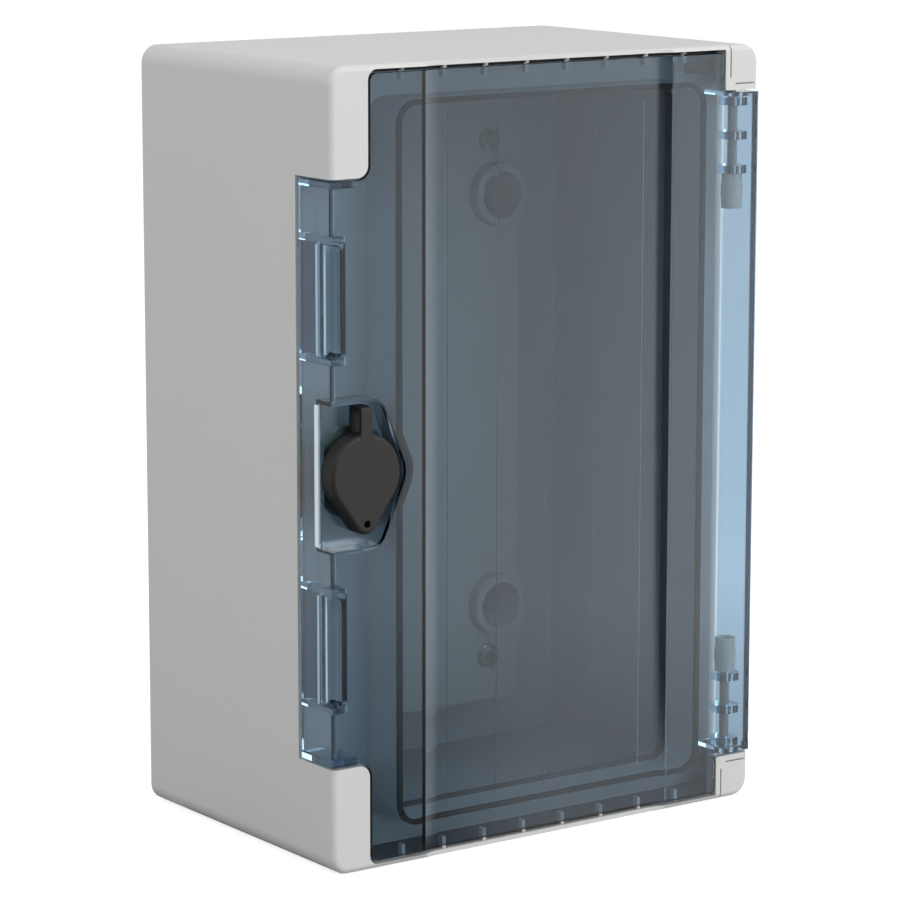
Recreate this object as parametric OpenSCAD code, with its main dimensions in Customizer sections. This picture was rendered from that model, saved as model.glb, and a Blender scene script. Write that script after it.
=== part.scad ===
// Wall-mounted plastic electrical cabinet: a grey casing with a sealing frame, a clear door hinged
// on the right, a quarter-turn lock under a rubber dust cover, and a mounting plate inside.
// The back stands against the wall at +Y, the door faces -Y and the base rests on Z = 0.

/* [Cabinet] */
// Overall width
cabinet_w = 200; // [180:1:300]
// Overall height
cabinet_h = 300; // [275:1:420]
// Overall depth with the door shut
cabinet_d = 130; // [115:1:200]
// Thickness of the casing walls
wall = 3; // [2.6:0.1:4]
// Radius of the four long corners of the casing
corner_r = 7; // [5:0.5:12]
// Rounding of the casing's front edge
edge_r = 2.5; // [1:0.1:3]
// Thickness of the lips above and below the door
lip_t = 1.7; // [1.5:0.1:2.4]
// Depth of the gutter, from the front to the sealing frame
gutter_depth = 23; // [22:0.5:26]

/* [Corner posts] */
// Width of the posts across the front
post_w = 16.5; // [15:0.1:20]
// Height of the two posts on the lock side
lock_post_h = 40.6; // [30:0.1:46]
// Height of the two posts on the hinge side
hinge_post_h = 17.4; // [15:0.1:24]
// Depth of the hinge-side posts, in front of the open space behind them
post_rim = 7; // [5:0.1:8]
// Rounding of the lock-side posts' inner corners
lock_post_r = 4.5; // [1:0.1:8]
// Rounding of the hinge-side posts' inner corners
hinge_post_r = 0.8; // [0.4:0.1:3]
// Rounding of the opening where the lips meet the lock-side posts
opening_r = 4; // [2:0.1:6]
// Width of the two spring slits in each hinge-side post
slit_w = 0.6; // [0.4:0.1:1]
// Depth of the spring slits
slit_depth = 2; // [1:0.1:4]
// Distance of the spring slits from the post's inner faces
slit_inset = 2.5; // [1.5:0.1:4]

/* [Gutter ribs] */
// Ribs along each lip
rib_count = 8; // [2:2:8]
// Spacing of the ribs
rib_pitch = 18.8; // [14:0.1:19]
// Thickness of one rib
rib_t = 1.5; // [1:0.1:3]
// Height of a rib behind the door
rib_h = 4.5; // [3:0.1:8]
// Depth of a rib from front to back
rib_depth = 4; // [3:0.1:8]

/* [Door] */
// Thickness of the door shell
door_t = 2.5; // [2:0.1:2.8]
// Gap between the door and the posts
door_gap = 1; // [0.6:0.1:1.5]
// Gap between the door and the lips
lip_gap = 1.5; // [1.2:0.1:2.5]
// Gap between the door's lock-side flange and the casing behind it
flange_gap = 2.2; // [0.4:0.1:3]
// Width of the recessed centre panel
recess_w = 102; // [60:1:104]
// Depth of the centre recess
recess_depth = 2; // [1:0.1:2.5]
// Run of the cove on each side of the centre recess
recess_run = 7.2; // [5:0.1:8]

/* [Finger grips] */
// Height of one finger grip
grip_len = 42; // [24:1:44]
// Distance of the grips' middles from the door's mid height
grip_offset = 65; // [58:0.5:66]
// Width of a grip across the front
grip_w = 4.8; // [4.2:0.1:7]
// Depth of a grip along the side
grip_depth = 7.6; // [5:0.1:10]
// Rounding of the grip's corners on the front
grip_r = 3.5; // [1:0.1:4]

/* [Seal] */
// Width of the gasket
gasket_w = 2; // [1.6:0.1:2.6]
// Thickness of the gasket
gasket_t = 1.2; // [1:0.1:2]
// Distance of the gasket's middle line from the lock side
seal_left = 31.4; // [30:0.1:35]
// Distance of the gasket's middle line from the top and the bottom
seal_margin = 14.6; // [13:0.1:18]
// Corner radius of the gasket's middle line
seal_r = 8; // [4:0.1:10]
// Thickness of the sealing collar
collar_t = 2; // [1.6:0.1:2.4]
// Thickness of the sealing frame's ledge
frame_t = 3; // [2:0.1:4]
// Width of the shelf that the sealing frame sits on
shelf_w = 2.5; // [1.5:0.1:4]
// Length of the clip windows in the ledge, behind the hinge-side posts
clip_w = 14.6; // [8:0.1:15]
// Height of the clip windows
clip_h = 4.2; // [2:0.1:5]
// Distance of a clip window's middle from the side
clip_inset = 12; // [11.5:0.1:14]

/* [Hinge] */
// Diameter of the hinge pins
pin_d = 3.8; // [3:0.1:4.4]
// Diameter of a pin's knob
knob_d = 8.6; // [6:0.1:9]
// Length of a pin's knob
knob_len = 13.5; // [8:0.5:20]
// Depth of the dish in a knob's end
dish_depth = 1.5; // [0.5:0.1:3]
// Distance of the hinge axis behind the front
hinge_depth = 8; // [7.8:0.1:8.6]
// Outer diameter of a knuckle
knuckle_d = 10.6; // [9:0.1:10.6]
// Thickness of a knuckle
knuckle_t = 3; // [2:0.1:4]
// Spacing of the knuckles
knuckle_pitch = 13.2; // [8:0.1:15]
// Distance of the first knuckle from the post
knuckle_first = 3.3; // [3:0.1:8]
// Length of pin held in the casing's socket
socket_len = 6.5; // [4:0.1:8]

/* [Lock] */
// Distance of the lock's axis from the side of the cabinet
lock_inset = 16.2; // [15.8:0.1:18]
// Depth of the lock pocket
pocket_depth = 8.7; // [8:0.1:8.9]
// Thickness of the lock pocket's floor
pocket_floor = 2.7; // [2:0.1:2.8]
// Thickness of the lock pocket's side walls
pocket_wall = 1.3; // [1.3:0.1:1.6]
// Diameter of the lock's barrel
barrel_d = 18; // [16:0.1:18.4]
// Diameter of the lock's head
head_d = 20.4; // [19.4:0.1:21]
// Width of the lock nut across its flats
nut_af = 21; // [20.6:0.1:22]
// Thickness of the lock nut
nut_t = 3.4; // [2.5:0.1:3.6]
// Diameter of the spindle that the key turns
spindle_d = 12; // [9:0.1:12.4]
// Width of the lock cam
cam_w = 10; // [8.5:0.1:11]
// Thickness of the lock cam
cam_t = 2.5; // [1.5:0.1:2.6]
// Size of the spindle's square end
square_w = 7; // [5:0.1:7]
// Diameter of the cam screw
cam_screw_d = 3.8; // [3:0.1:4]

/* [Lock dust cover] */
// Radius of the cover's round body
cover_r = 15.3; // [14.6:0.1:15.6]
// Thickness of the cover's front
cover_front = 2; // [1:0.1:2.2]
// Depth from the door's front to the cover's front
cover_sink = 0.7; // [0.4:0.1:1.2]
// Radius of the hollow inside the cover
cover_hollow_r = 12.8; // [12.2:0.1:13.2]
// Distance from the lock's axis to the bottom of the cover's pull tab
tab_reach = 22.3; // [19:0.1:23.5]
// Radius of the pull tab's end
tab_r = 5; // [4:0.1:6]
// Diameter of the hole in the pull tab
tab_hole_d = 2.8; // [1:0.1:4]
// Distance from the lock's axis to the strap's fold
strap_reach = 24.5; // [22:0.1:25]
// Width of the strap
strap_w = 5; // [4:0.1:7]
// Thickness of the strap
strap_t = 1.6; // [1:0.1:1.8]

/* [Mounting plate] */
// Width of the mounting plate
plate_w = 127.6; // [110:0.1:130]
// Height of the mounting plate
plate_h = 251; // [240:1:262]
// Thickness of the mounting plate
plate_t = 2.5; // [1.5:0.1:4]
// Distance from the casing's inner back face to the plate's front
plate_stand = 19; // [15:0.5:30]
// Corner radius of the mounting plate
plate_r = 4; // [1:0.5:8]
// Spacing of the plate screws across the width
plate_screw_x = 97; // [80:1:100]
// Spacing of the plate screws along the height
plate_screw_z = 213.4; // [204:0.2:226]
// Diameter of the plate screws
plate_screw_d = 4.9; // [3.9:0.1:5.9]
// Spacing of the wall holes across the width
wall_hole_x = 104; // [90:1:110]
// Spacing of the wall holes along the height
wall_hole_z = 170; // [150:1:176]
// Diameter of the wall holes
wall_hole_d = 6.5; // [4:0.1:8]
// Outer diameter of the tubes round the wall holes
tube_d = 25; // [16:0.5:26]
// Thickness of those tubes' walls
tube_wall = 3; // [1.5:0.1:4]
// How far those tubes stand out in front of the plate
tube_proud = 5; // [1:0.1:10]

/* [Hidden] */
$fn = 64;
over = 1;             // how far a cut runs past a face
run_fit = 0.05;       // radial clearance of turning and sliding fits
seat_fit = 0.1;       // clearance of pieces fixed to each other
air = 0.4;            // space between pieces that move past each other
least_r = 0.5;        // smallest corner inside the casing
rib_sink = 1.5;       // how far the gutter ribs start behind the recessed front

front_y = -cabinet_d / 2;
back_y = cabinet_d / 2;
side_x = cabinet_w / 2;
mid_z = cabinet_h / 2;
inner_back_y = back_y - wall;
ledge_y = front_y + gutter_depth;
skin_y = front_y + recess_depth + door_t;   // inner face of the recessed centre panel

hinge_x = side_x - knob_d / 2 - door_t - air;
hinge_y = front_y + hinge_depth;
hinge_wall_t = 1.6;                         // thickness of the hinge-side flange's end walls
swing_gap = 1.8;                            // space left by the hinge-side flange as it swings past
swing_r = ledge_y - hinge_y - swing_gap;
hinge_flange_y = hinge_y + sqrt(swing_r * swing_r - pow(side_x - hinge_x, 2));
post_face_z = cabinet_h - hinge_post_h;     // lower face of the top hinge-side post
knuckle_end_z = post_face_z - knuckle_first - 2 * knuckle_pitch - knuckle_t;
knob_top_z = knuckle_end_z - air;
pin_end_z = post_face_z + socket_len;
socket_wall = 2.6;                          // wall round a pin's socket
socket_r = pin_d / 2 + socket_wall;

lock_x = -side_x + lock_inset;
cover_gap = 1.6;                            // space between the dust cover and the pocket's tip
pocket_tip_x = lock_x + cover_r + cover_gap;
strap_top_gap = 2.5;                        // space between the strap's fold and the pocket's edge
pocket_half_h = strap_reach + strap_top_gap;
pocket_corner_r = 6;
pocket_tip_r = 10;
pocket_corner_dx = 2;                       // offset of those corners from the lock's axis
floor_y = front_y + pocket_depth;           // front face of the pocket's floor
floor_back_y = floor_y + pocket_floor;

seal_x0 = -side_x + seal_left;
collar_swing_gap = 4.4;                     // space between the collar and the swinging flange
seal_x1 = hinge_x - swing_r - collar_swing_gap - collar_t / 2;
seal_z0 = seal_margin;
seal_z1 = cabinet_h - seal_margin;
seal_tip_gap = pocket_wall + collar_t / 2 + 2 * air;   // from the lock pocket to the seal's middle line
seal_tip_x = pocket_tip_x + seal_tip_gap;   // where the seal passes the pocket's tip
collar_depth = door_t + gasket_t + air;     // from the door's front face to the collar

tether_t = 1.1;                             // thickness of the tether ring under the lock's head
tether_rim = 0.6;                           // how far the tether ring shows round the lock's head
head_back_y = floor_y - tether_t - seat_fit;
head_t = 2;
socket_sink = 0.4;                          // how far the key socket sits below the lock's head
nut_y = floor_back_y + seat_fit;
nut_back_y = nut_y + nut_t;
barrel_end_y = nut_back_y + seat_fit;
cam_y = barrel_end_y + air;
cam_back_y = cam_y + cam_t;
washer_t = 0.8;
screw_head_t = 2.2;
cam_screw_r = square_w / 2;                 // radius of the cam screw's head
cam_washer_r = cam_screw_r + 1.4;
cam_screw_bite = 3;                         // depth of the screw hole in the spindle
nut_corner_r = nut_af / sqrt(3);
keeper_x = lock_x + nut_corner_r + air;     // free edge of the keeper
cam_swing_gap = 2.6;                        // space between the cam's end and the collar
cam_reach = seal_tip_x - collar_t / 2 - cam_swing_gap - lock_x;
cam_rim = 2;                                // metal round the cam's square hole
cam_hub_r = square_w / sqrt(2) + cam_rim;
keeper_back_y = cam_y - air;
keeper_t = 2.4;
keeper_side = 3;                            // how far the keeper reaches past the cam above and below
keeper_h = cam_w + 2 * keeper_side;
keeper_stop = 2;                            // thickness of the stop under the keeper

cover_y = front_y + cover_sink;
cover_back_y = floor_y - air;
pivot_y = cover_y + strap_t / 2;
pivot_z = mid_z + strap_reach;

plate_y = inner_back_y - plate_stand;
plate_back_y = plate_y + plate_t;
tube_y = plate_y - tube_proud;
insert_wall = 1.2;
insert_r = plate_screw_d / 2 + run_fit + insert_wall;
insert_len = 11;
boss_wall = 2.4;
boss_r = insert_r + boss_wall;
screw_len = 9;                              // thread below the mounting plate
plate_head_r = plate_screw_d * 0.9;
plate_head_t = plate_screw_d * 0.55;

casing_grey = [0.80, 0.81, 0.80];
frame_grey = [0.74, 0.76, 0.77];
smoke_blue = [0.42, 0.55, 0.68, 0.5];
rubber_black = [0.13, 0.13, 0.13];
gasket_brown = [0.20, 0.18, 0.17];
pin_grey = [0.58, 0.60, 0.62];
zinc = [0.72, 0.74, 0.72];
brass = [0.80, 0.66, 0.35];
plate_beige = [0.78, 0.76, 0.72];

// Shared shapes

// An outline in X and Z, given depth from y0 to y1
module slab(y0, y1) {
    translate([0, y1, 0]) rotate([90, 0, 0]) linear_extrude(y1 - y0) children();
}

// A round bar along Y
module rod(x, z, y0, y1, r) {
    translate([x, y0, z]) rotate([-90, 0, 0]) cylinder(r = r, h = y1 - y0);
}

// A block between two corners
module block(low, high) {
    translate(low) cube(high - low);
}

// What lies outside an arc in a square corner, turned to face that corner
module corner_waste(r, turn) {
    rotate(turn) difference() {
        square(r + over);
        circle(r);
    }
}

// A rectangle in X and Z with four round corners
module rounded_rect(x0, x1, z0, z1, r) {
    difference() {
        translate([x0, z0]) square([x1 - x0, z1 - z0]);
        translate([x1 - r, z1 - r]) corner_waste(r, 0);
        translate([x0 + r, z1 - r]) corner_waste(r, 90);
        translate([x0 + r, z0 + r]) corner_waste(r, 180);
        translate([x1 - r, z0 + r]) corner_waste(r, 270);
    }
}

// The area inside the seal's middle line, which passes round the lock pocket, grown outwards by grow
module seal_area(grow) {
    difference() {
        rounded_rect(seal_x0 - grow, seal_x1 + grow, seal_z0 - grow, seal_z1 + grow, seal_r + grow);
        pocket_outline(seal_tip_gap - grow, -side_x);
    }
}

// A band of the given width along the seal's middle line
module seal_band(width) {
    difference() {
        seal_area(width / 2);
        seal_area(-width / 2);
    }
}

// One post's outline with its corner at the origin, grown by gap
module post_outline(height, r, gap) {
    reach = post_w + gap;
    rise = height + gap;
    difference() {
        translate([-over, -over]) square([reach + over, rise + over]);
        translate([reach - r - gap, rise - r - gap]) corner_waste(r + gap, 0);
    }
}

// The front opening between the lips and the posts, shrunk by the two gaps
module front_outline(gap, gap_z, reach_x, hinge_posts = true) {
    z0 = lip_t + gap_z;
    r = opening_r - gap;
    corner_x = -side_x + post_w + gap + r;
    difference() {
        translate([-reach_x, z0]) square([2 * reach_x, cabinet_h - 2 * z0]);
        for (top = [0, 1]) translate([0, top * cabinet_h]) mirror([0, top]) {
            translate([-side_x, 0]) post_outline(lock_post_h, lock_post_r, gap);
            if (hinge_posts)
                translate([side_x, 0]) mirror([1, 0]) post_outline(hinge_post_h, hinge_post_r, gap);
            translate([corner_x, z0 + r]) corner_waste(r, 180);
        }
    }
}

// The front surface in X and Y, set back evenly by depth: flat strips, coves and a recessed centre
crest_x = recess_w / 2 + recess_run;
crest_angle = atan(2 * recess_depth / recess_run);
cove_n = 12;
function cove(t) = 1 - (1 - t) * (1 - t);
function cove_x(t, depth) = -recess_w / 2 - (recess_run + depth * tan(crest_angle / 2)) * (1 - t);
function cove_curve(depth) = [for (i = [0:cove_n])
    [cove_x(i / cove_n, depth), front_y + depth + recess_depth * cove(i / cove_n)]];
function mirrored(points) = [for (i = [len(points) - 1:-1:0]) [-points[i][0], points[i][1]]];
function backwards(points) = [for (i = [len(points) - 1:-1:0]) points[i]];
function front_curve(depth) = concat([[-side_x, front_y + depth]], cove_curve(depth),
    mirrored(cove_curve(depth)), [[side_x, front_y + depth]]);

// What lies between the front surface and the same surface set back by depth, with ahead more in front
module skin_block(depth, ahead = 0) {
    linear_extrude(cabinet_h) polygon(concat(front_curve(-ahead), backwards(front_curve(depth))));
}

// Casing

// Rounds the front edge of the casing all the way round
module front_edge_waste() {
    in_x = side_x - corner_r;
    in_z = mid_z - corner_r;
    for (k = [0:3]) {
        sx = (k == 0 || k == 3) ? 1 : -1;
        sz = k < 2 ? 1 : -1;
        half_run = k % 2 == 0 ? in_z : in_x;
        reach = k % 2 == 0 ? side_x : mid_z;
        translate([sx * in_x, 0, mid_z + sz * in_z]) rotate([90, 0, 0]) rotate(90 * k)
            rotate_extrude(angle = 90) translate([corner_r - edge_r, -front_y - edge_r])
                corner_waste(edge_r, 0);
        translate([0, 0, mid_z]) rotate([0, -90 * k, 0])
            translate([reach - edge_r, front_y + edge_r, -half_run])
                linear_extrude(2 * half_run) corner_waste(edge_r, 270);
    }
}

// The casing's outside, with the centre recess carried across both lips
module casing_block() {
    difference() {
        slab(front_y, back_y) rounded_rect(-side_x, side_x, 0, cabinet_h, corner_r);
        front_edge_waste();
        translate([0, 0, -over]) linear_extrude(cabinet_h + 2 * over)
            polygon(concat(cove_curve(0), mirrored(cove_curve(0)),
                [[crest_x, front_y - over], [-crest_x, front_y - over]]));
    }
}

// The inside of the casing in X and Z, drawn in by inset
module inside_rect(inset) {
    edge = wall + inset;
    rounded_rect(-side_x + edge, side_x - edge, edge, cabinet_h - edge, max(corner_r - edge, least_r));
}

// The hollows behind the posts; on the hinge side a block round the pin's socket stays
module post_hollows() {
    for (top = [0, 1]) translate([0, 0, top * cabinet_h]) mirror([0, 0, top]) {
        block([-side_x + wall, front_y + wall, wall],
              [-side_x + post_w - wall, ledge_y + over, lock_post_h - wall]);
        difference() {
            block([side_x - post_w - over, front_y + post_rim, lip_t],
                  [side_x - wall, ledge_y + over, hinge_post_h + over]);
            block([hinge_x - socket_r, front_y, 0], [side_x, hinge_y + socket_r, hinge_post_h + 2 * over]);
        }
    }
}

// The two slits that free one corner of each hinge-side post
module spring_slits() {
    slit_x = side_x - post_w + slit_inset;
    slit_z = hinge_post_h - slit_inset;
    slit_end = 2.5;
    for (top = [0, 1]) translate([0, 0, top * cabinet_h]) mirror([0, 0, top]) {
        block([slit_x - slit_w / 2, front_y - over, -over],
              [slit_x + slit_w / 2, front_y + slit_depth, slit_z - slit_end]);
        block([slit_x + slit_end, front_y - over, slit_z - slit_w / 2],
              [side_x + over, front_y + slit_depth, slit_z + slit_w / 2]);
    }
}

// Ribs that keep the lips stiff and the door centred
module gutter_ribs() {
    rib_front_y = front_y + recess_depth + rib_sink;
    rib_back_y = rib_front_y + rib_depth;
    for (top = [0, 1], i = [0:rib_count - 1]) {
        x = (i - (rib_count - 1) / 2) * rib_pitch;
        translate([x, 0, top * cabinet_h]) mirror([0, 0, top]) {
            block([-rib_t / 2, rib_front_y, lip_t / 2], [rib_t / 2, rib_back_y, lip_t + lip_gap - air]);
            block([-rib_t / 2, skin_y + air, lip_t / 2], [rib_t / 2, rib_back_y, lip_t + rib_h]);
        }
    }
}

// Places one item at each corner of a rectangle centred on the back
module at_corners(dx, dz) {
    for (sx = [-1, 1], sz = [-1, 1]) translate([sx * dx / 2, 0, mid_z + sz * dz / 2]) children();
}

module casing() {
    color(casing_grey) difference() {
        union() {
            difference() {
                casing_block();
                slab(front_y - over, ledge_y) front_outline(0, 0, side_x + over);
                slab(ledge_y, inner_back_y) inside_rect(0);
                post_hollows();
            }
            slab(ledge_y + frame_t, ledge_y + frame_t + wall) difference() {
                inside_rect(-wall / 2);
                inside_rect(shelf_w);
            }
            gutter_ribs();
            at_corners(wall_hole_x, wall_hole_z) rod(0, 0, tube_y, back_y - wall / 2, tube_d / 2);
            at_corners(plate_screw_x, plate_screw_z) rod(0, 0, plate_back_y, back_y - wall / 2, boss_r);
        }
        at_corners(wall_hole_x, wall_hole_z) rod(0, 0, tube_y - over, inner_back_y, tube_d / 2 - tube_wall);
        at_corners(wall_hole_x, wall_hole_z) rod(0, 0, inner_back_y - over, back_y + over, wall_hole_d / 2);
        at_corners(plate_screw_x, plate_screw_z)
            rod(0, 0, plate_back_y - over, plate_back_y + insert_len + over, insert_r + run_fit);
        for (top = [0, 1]) translate([hinge_x, hinge_y, top * cabinet_h]) mirror([0, 0, top])
            translate([0, 0, hinge_post_h - socket_len - over])
                cylinder(r = pin_d / 2 + run_fit, h = socket_len + 2 * over);
        spring_slits();
    }
}

// Sealing frame

// One window in the ledge, through which the casing's clip is reached
module clip_window() {
    clip_z = (lip_t + seal_margin - collar_t) / 2 + wall;
    translate([side_x - clip_inset, clip_z]) square([clip_w, clip_h], center = true);
}

module sealing_frame() {
    color(frame_grey) union() {
        slab(ledge_y, ledge_y + frame_t) difference() {
            intersection() {
                front_outline(seat_fit, seat_fit, side_x, false);
                inside_rect(seat_fit);
            }
            seal_area(-collar_t / 2);
            for (top = [0, 1]) translate([0, top * cabinet_h]) mirror([0, top]) clip_window();
        }
        difference() {
            slab(front_y, ledge_y + frame_t) seal_band(collar_t);
            skin_block(collar_depth, recess_depth + over);
        }
        block([keeper_x, keeper_back_y - keeper_t, mid_z - keeper_h / 2],
              [seal_tip_x, keeper_back_y, mid_z + keeper_h / 2]);
        block([keeper_x, keeper_back_y - keeper_t, mid_z - keeper_h / 2],
              [seal_tip_x, ledge_y + frame_t / 2, mid_z - keeper_h / 2 + keeper_stop]);
    }
}

// Mounting plate and its fixings

module mounting_plate() {
    color(plate_beige) difference() {
        slab(plate_y, plate_back_y)
            rounded_rect(-plate_w / 2, plate_w / 2, mid_z - plate_h / 2, mid_z + plate_h / 2, plate_r);
        at_corners(wall_hole_x, wall_hole_z) rod(0, 0, plate_y - over, plate_back_y + over, tube_d / 2 + air);
        at_corners(plate_screw_x, plate_screw_z)
            rod(0, 0, plate_y - over, plate_back_y + over, plate_screw_d / 2 + 2 * seat_fit);
    }
}

module plate_inserts() {
    color(brass) at_corners(plate_screw_x, plate_screw_z) difference() {
        rod(0, 0, plate_back_y, plate_back_y + insert_len, insert_r);
        rod(0, 0, plate_back_y - over, plate_back_y + insert_len + over, plate_screw_d / 2 + run_fit);
    }
}

module plate_washers() {
    color(zinc) at_corners(plate_screw_x, plate_screw_z) difference() {
        rod(0, 0, plate_y - washer_t, plate_y, plate_screw_d);
        rod(0, 0, plate_y - washer_t - over, plate_y + over, plate_screw_d / 2 + seat_fit);
    }
}

// A pan-head screw along +Y with a cross recess, its head's underside at y = 0
module pan_screw(d, length, head_r, head_h) {
    slot_w = d / 5;
    slot_len = head_r * 1.3;
    rim_h = head_h * 0.6;
    crown_r = head_r * 0.7;
    difference() {
        union() {
            rotate([-90, 0, 0]) cylinder(r = d / 2, h = length);
            rotate([90, 0, 0]) cylinder(r = head_r, h = rim_h);
            translate([0, -rim_h, 0]) rotate([90, 0, 0])
                cylinder(r1 = head_r, r2 = crown_r, h = head_h - rim_h);
        }
        for (turn = [0, 90]) translate([0, -head_h, 0]) rotate([0, turn, 0])
            cube([slot_len, head_h, slot_w], center = true);
    }
}

module plate_screws() {
    color(zinc) at_corners(plate_screw_x, plate_screw_z) translate([0, plate_y - washer_t, 0])
        pan_screw(plate_screw_d, washer_t + plate_t + screw_len, plate_head_r, plate_head_t);
}

// Door

// The lock pocket's outline, grown by grow and running off the door's edge to left_x
module pocket_outline(grow, left_x) {
    half = pocket_half_h - pocket_corner_r;
    edge_h = pocket_half_h + grow;
    hull() {
        translate([pocket_tip_x - pocket_tip_r, mid_z]) circle(pocket_tip_r + grow);
        for (s = [-1, 1])
            translate([lock_x + pocket_corner_dx, mid_z + s * half]) circle(pocket_corner_r + grow);
        translate([left_x, mid_z - edge_h]) square([over, 2 * edge_h]);
    }
}

// Places a finger grip's shape above and below the lock
module at_grips() {
    for (s = [-1, 1]) translate([-side_x, front_y, mid_z + s * grip_offset]) children();
}

// The notch of one finger grip, round at its two front corners
module grip_notch() {
    translate([0, -over, 0]) slab(0, grip_depth + over) difference() {
        translate([-over, -grip_len / 2]) square([grip_w + over, grip_len]);
        translate([grip_w - grip_r, grip_len / 2 - grip_r]) corner_waste(grip_r, 0);
        translate([grip_w - grip_r, grip_r - grip_len / 2]) corner_waste(grip_r, 270);
    }
}

// The knuckles of one hinge, at the top of the door
module knuckles() {
    for (i = [0:2]) translate([0, 0, post_face_z - knuckle_first - i * knuckle_pitch - knuckle_t]) {
        translate([hinge_x, hinge_y, 0]) cylinder(d = knuckle_d, h = knuckle_t);
        block([hinge_x, hinge_y - knuckle_d / 4, 0],
              [side_x - door_t / 2, hinge_y + knuckle_d / 4, knuckle_t]);
        block([hinge_x - knuckle_d / 4, front_y + door_t / 2, 0],
              [hinge_x + knuckle_d / 4, hinge_y, knuckle_t]);
    }
}

// The end walls that close both flanges at the top and the bottom
module flange_ends() {
    end_z = lock_post_h + door_gap;
    hinge_end_z = hinge_post_h + door_gap;
    for (top = [0, 1]) translate([0, 0, top * cabinet_h]) mirror([0, 0, top]) {
        block([-side_x, front_y, end_z],
              [-side_x + post_w - lock_post_r, ledge_y - flange_gap, end_z + door_t]);
        block([hinge_x - knuckle_d / 2, front_y, hinge_end_z],
              [side_x, hinge_flange_y, hinge_end_z + hinge_wall_t]);
    }
}

// The walls round one finger grip; the two end walls run on to the flange's rear edge
module grip_walls() {
    end_z = grip_len / 2 + door_t;
    block([0, 0, -end_z], [grip_w + door_t, grip_depth + door_t, end_z]);
    for (z = [-end_z, end_z - door_t])
        block([0, 0, z], [grip_w + door_t, gutter_depth - flange_gap, z + door_t]);
}

module door_skin() {
    lock_end = lock_post_h + door_gap;
    hinge_end = hinge_post_h + door_gap;
    intersection() {
        skin_block(door_t);
        slab(front_y - over, ledge_y) front_outline(door_gap, lip_gap, side_x + over);
    }
    block([-side_x, front_y, lock_end], [-side_x + door_t, ledge_y - flange_gap, cabinet_h - lock_end]);
    block([side_x - door_t, front_y, hinge_end], [side_x, hinge_flange_y, cabinet_h - hinge_end]);
}

module door_panel() {
    color(smoke_blue) difference() {
        union() {
            door_skin();
            flange_ends();
            slab(front_y, floor_back_y) pocket_outline(pocket_wall, -side_x);
            at_grips() grip_walls();
            knuckles();
            translate([0, 0, cabinet_h]) mirror([0, 0, 1]) knuckles();
        }
        slab(front_y - over, floor_y) pocket_outline(0, -side_x - over);
        rod(lock_x, mid_z, floor_y - over, floor_back_y + over, barrel_d / 2 + seat_fit);
        at_grips() grip_notch();
        translate([hinge_x, hinge_y, 0]) cylinder(r = pin_d / 2 + run_fit, h = cabinet_h);
    }
}

// A foam strip laid along the door's inner face
module door_gasket() {
    color(gasket_brown) difference() {
        intersection() {
            slab(front_y, ledge_y) seal_band(gasket_w);
            skin_block(door_t + gasket_t);
        }
        skin_block(door_t + run_fit, recess_depth + over);
    }
}

// Hinge pins

// The top pin: a shaft in the knuckles and the casing's socket, with a waisted knob to pull it by
module pin_shape() {
    rim = knob_len * 0.3;
    waist = 0.25;
    knob_end_z = knob_top_z - knob_len;
    translate([hinge_x, hinge_y, 0]) difference() {
        union() {
            translate([0, 0, knob_top_z - knob_len / 2])
                cylinder(d = pin_d, h = pin_end_z - knob_top_z + knob_len / 2);
            translate([0, 0, knob_top_z - rim]) cylinder(r = knob_d / 2 - waist, h = rim);
            translate([0, 0, knob_end_z + rim]) cylinder(r = knob_d / 2, h = knob_len - 2 * rim);
            translate([0, 0, knob_end_z]) cylinder(r = knob_d / 2 - waist, h = rim);
        }
        translate([0, 0, knob_end_z - over]) cylinder(r = knob_d / 3, h = over + dish_depth);
    }
}

module hinge_pin_top() {
    color(pin_grey) pin_shape();
}

module hinge_pin_bottom() {
    color(pin_grey) translate([0, 0, cabinet_h]) mirror([0, 0, 1]) pin_shape();
}

// Lock

module lock_body() {
    color(zinc) difference() {
        union() {
            rod(lock_x, mid_z, head_back_y - head_t, head_back_y, head_d / 2);
            rod(lock_x, mid_z, head_back_y - head_t / 2, barrel_end_y, barrel_d / 2);
        }
        rod(lock_x, mid_z, head_back_y - head_t - over, barrel_end_y + over, spindle_d / 2 + run_fit);
    }
}

module lock_nut() {
    color(zinc) difference() {
        translate([lock_x, nut_back_y, mid_z]) rotate([90, 0, 0])
            cylinder(r = nut_corner_r, h = nut_t, $fn = 6);
        rod(lock_x, mid_z, nut_y - over, nut_back_y + over, barrel_d / 2 + run_fit);
    }
}

// The key's outline: a round pipe with two bits, round a centre pin
module key_socket() {
    difference() {
        union() {
            circle(spindle_d / 4);
            square([spindle_d * 0.75, spindle_d / 4.5], center = true);
        }
        circle(spindle_d / 9);
    }
}

module lock_spindle() {
    front = head_back_y - head_t + socket_sink;
    socket_depth = 5;
    shoulder_y = barrel_end_y + air / 2;
    color(zinc) difference() {
        union() {
            rod(lock_x, mid_z, front, shoulder_y, spindle_d / 2);
            block([lock_x - square_w / 2, shoulder_y - over, mid_z - square_w / 2],
                  [lock_x + square_w / 2, cam_back_y - seat_fit, mid_z + square_w / 2]);
        }
        translate([lock_x, 0, mid_z]) slab(front - over, front + socket_depth) key_socket();
        rod(lock_x, mid_z, cam_y - cam_screw_bite, cam_back_y + over, cam_screw_d / 2 + run_fit);
    }
}

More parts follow.
